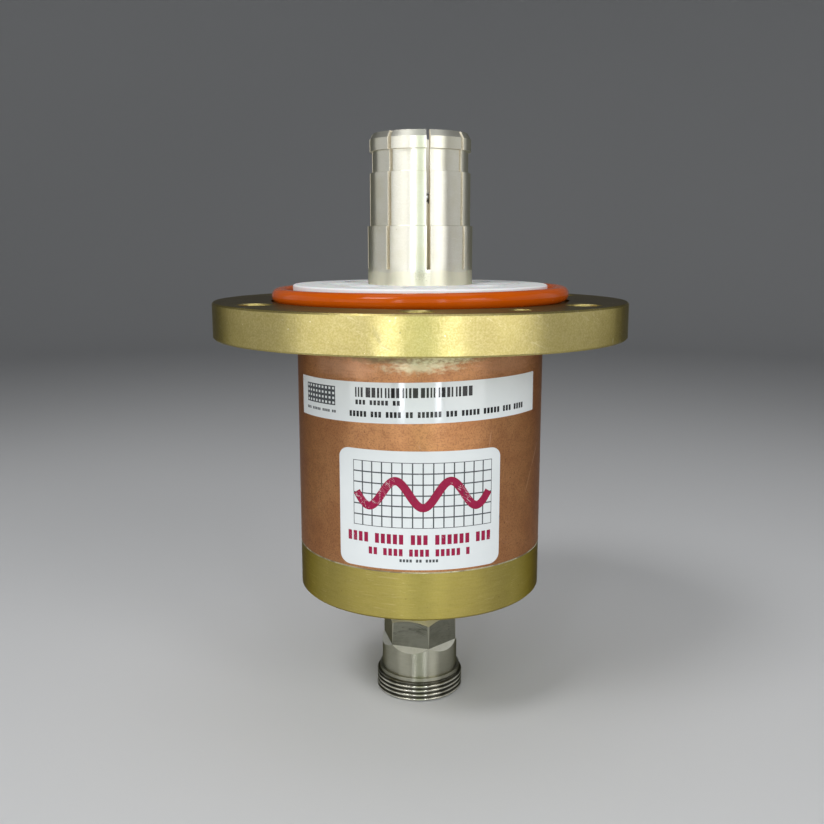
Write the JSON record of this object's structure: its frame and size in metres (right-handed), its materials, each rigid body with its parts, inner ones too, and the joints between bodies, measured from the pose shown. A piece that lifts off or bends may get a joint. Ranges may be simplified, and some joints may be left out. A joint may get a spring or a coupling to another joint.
{
  "type": "rigid line coaxial adapter",
  "caption": "Coaxial line adapter: bolted flange with a sprung inner connector and a rubber face seal, a soldered tube with a cap, and a small threaded socket below.",
  "frame": {"origin": "centre of the flange's sealing face, which is the plane that meets the next flange", "axes": "+Z along the line's axis towards the sprung inner connector; -Y is the side that carries the labels; +X to the right when the labels are read"},
  "size_m": [0.1322, 0.1322, 0.1841],
  "materials": {
    "flange_brass": "satin, turned",
    "tube_copper": "brushed copper, lightly tarnished",
    "cap_brass": "fine satin",
    "plug_brass": "turned",
    "solder": "dull solder",
    "seal_rubber": "smooth silicone",
    "insulator_plastic": "matt fluoropolymer",
    "silver_plate": "silver plated, satin turned",
    "spring_steel": "drawn wire",
    "screw_steel": "plain",
    "shell_plate": "nickel plated, turned",
    "label_film": "gloss film"
  },
  "bodies": {
    "root": {"flange": "flange_brass", "outer_tube": "tube_copper", "end_cap": "cap_brass", "flange_solder": "solder", "cap_solder": "solder", "face_seal": "seal_rubber", "anchor_insulator": "insulator_plastic", "bullet": "silver_plate", "finger_spring": "spring_steel", "fixing_screw": "screw_steel", "flat_washer": "screw_steel", "split_washer": "spring_steel", "inner_tube": "tube_copper", "upper_plug": "plug_brass", "step_plug": "plug_brass", "din_shell": "shell_plate", "din_rear_bead": "insulator_plastic", "din_front_bead": "insulator_plastic", "din_bead_keeper": "silver_plate", "din_contact": "silver_plate", "strip_label": "label_film", "front_label": "label_film"}
  },
  "joints": []
}
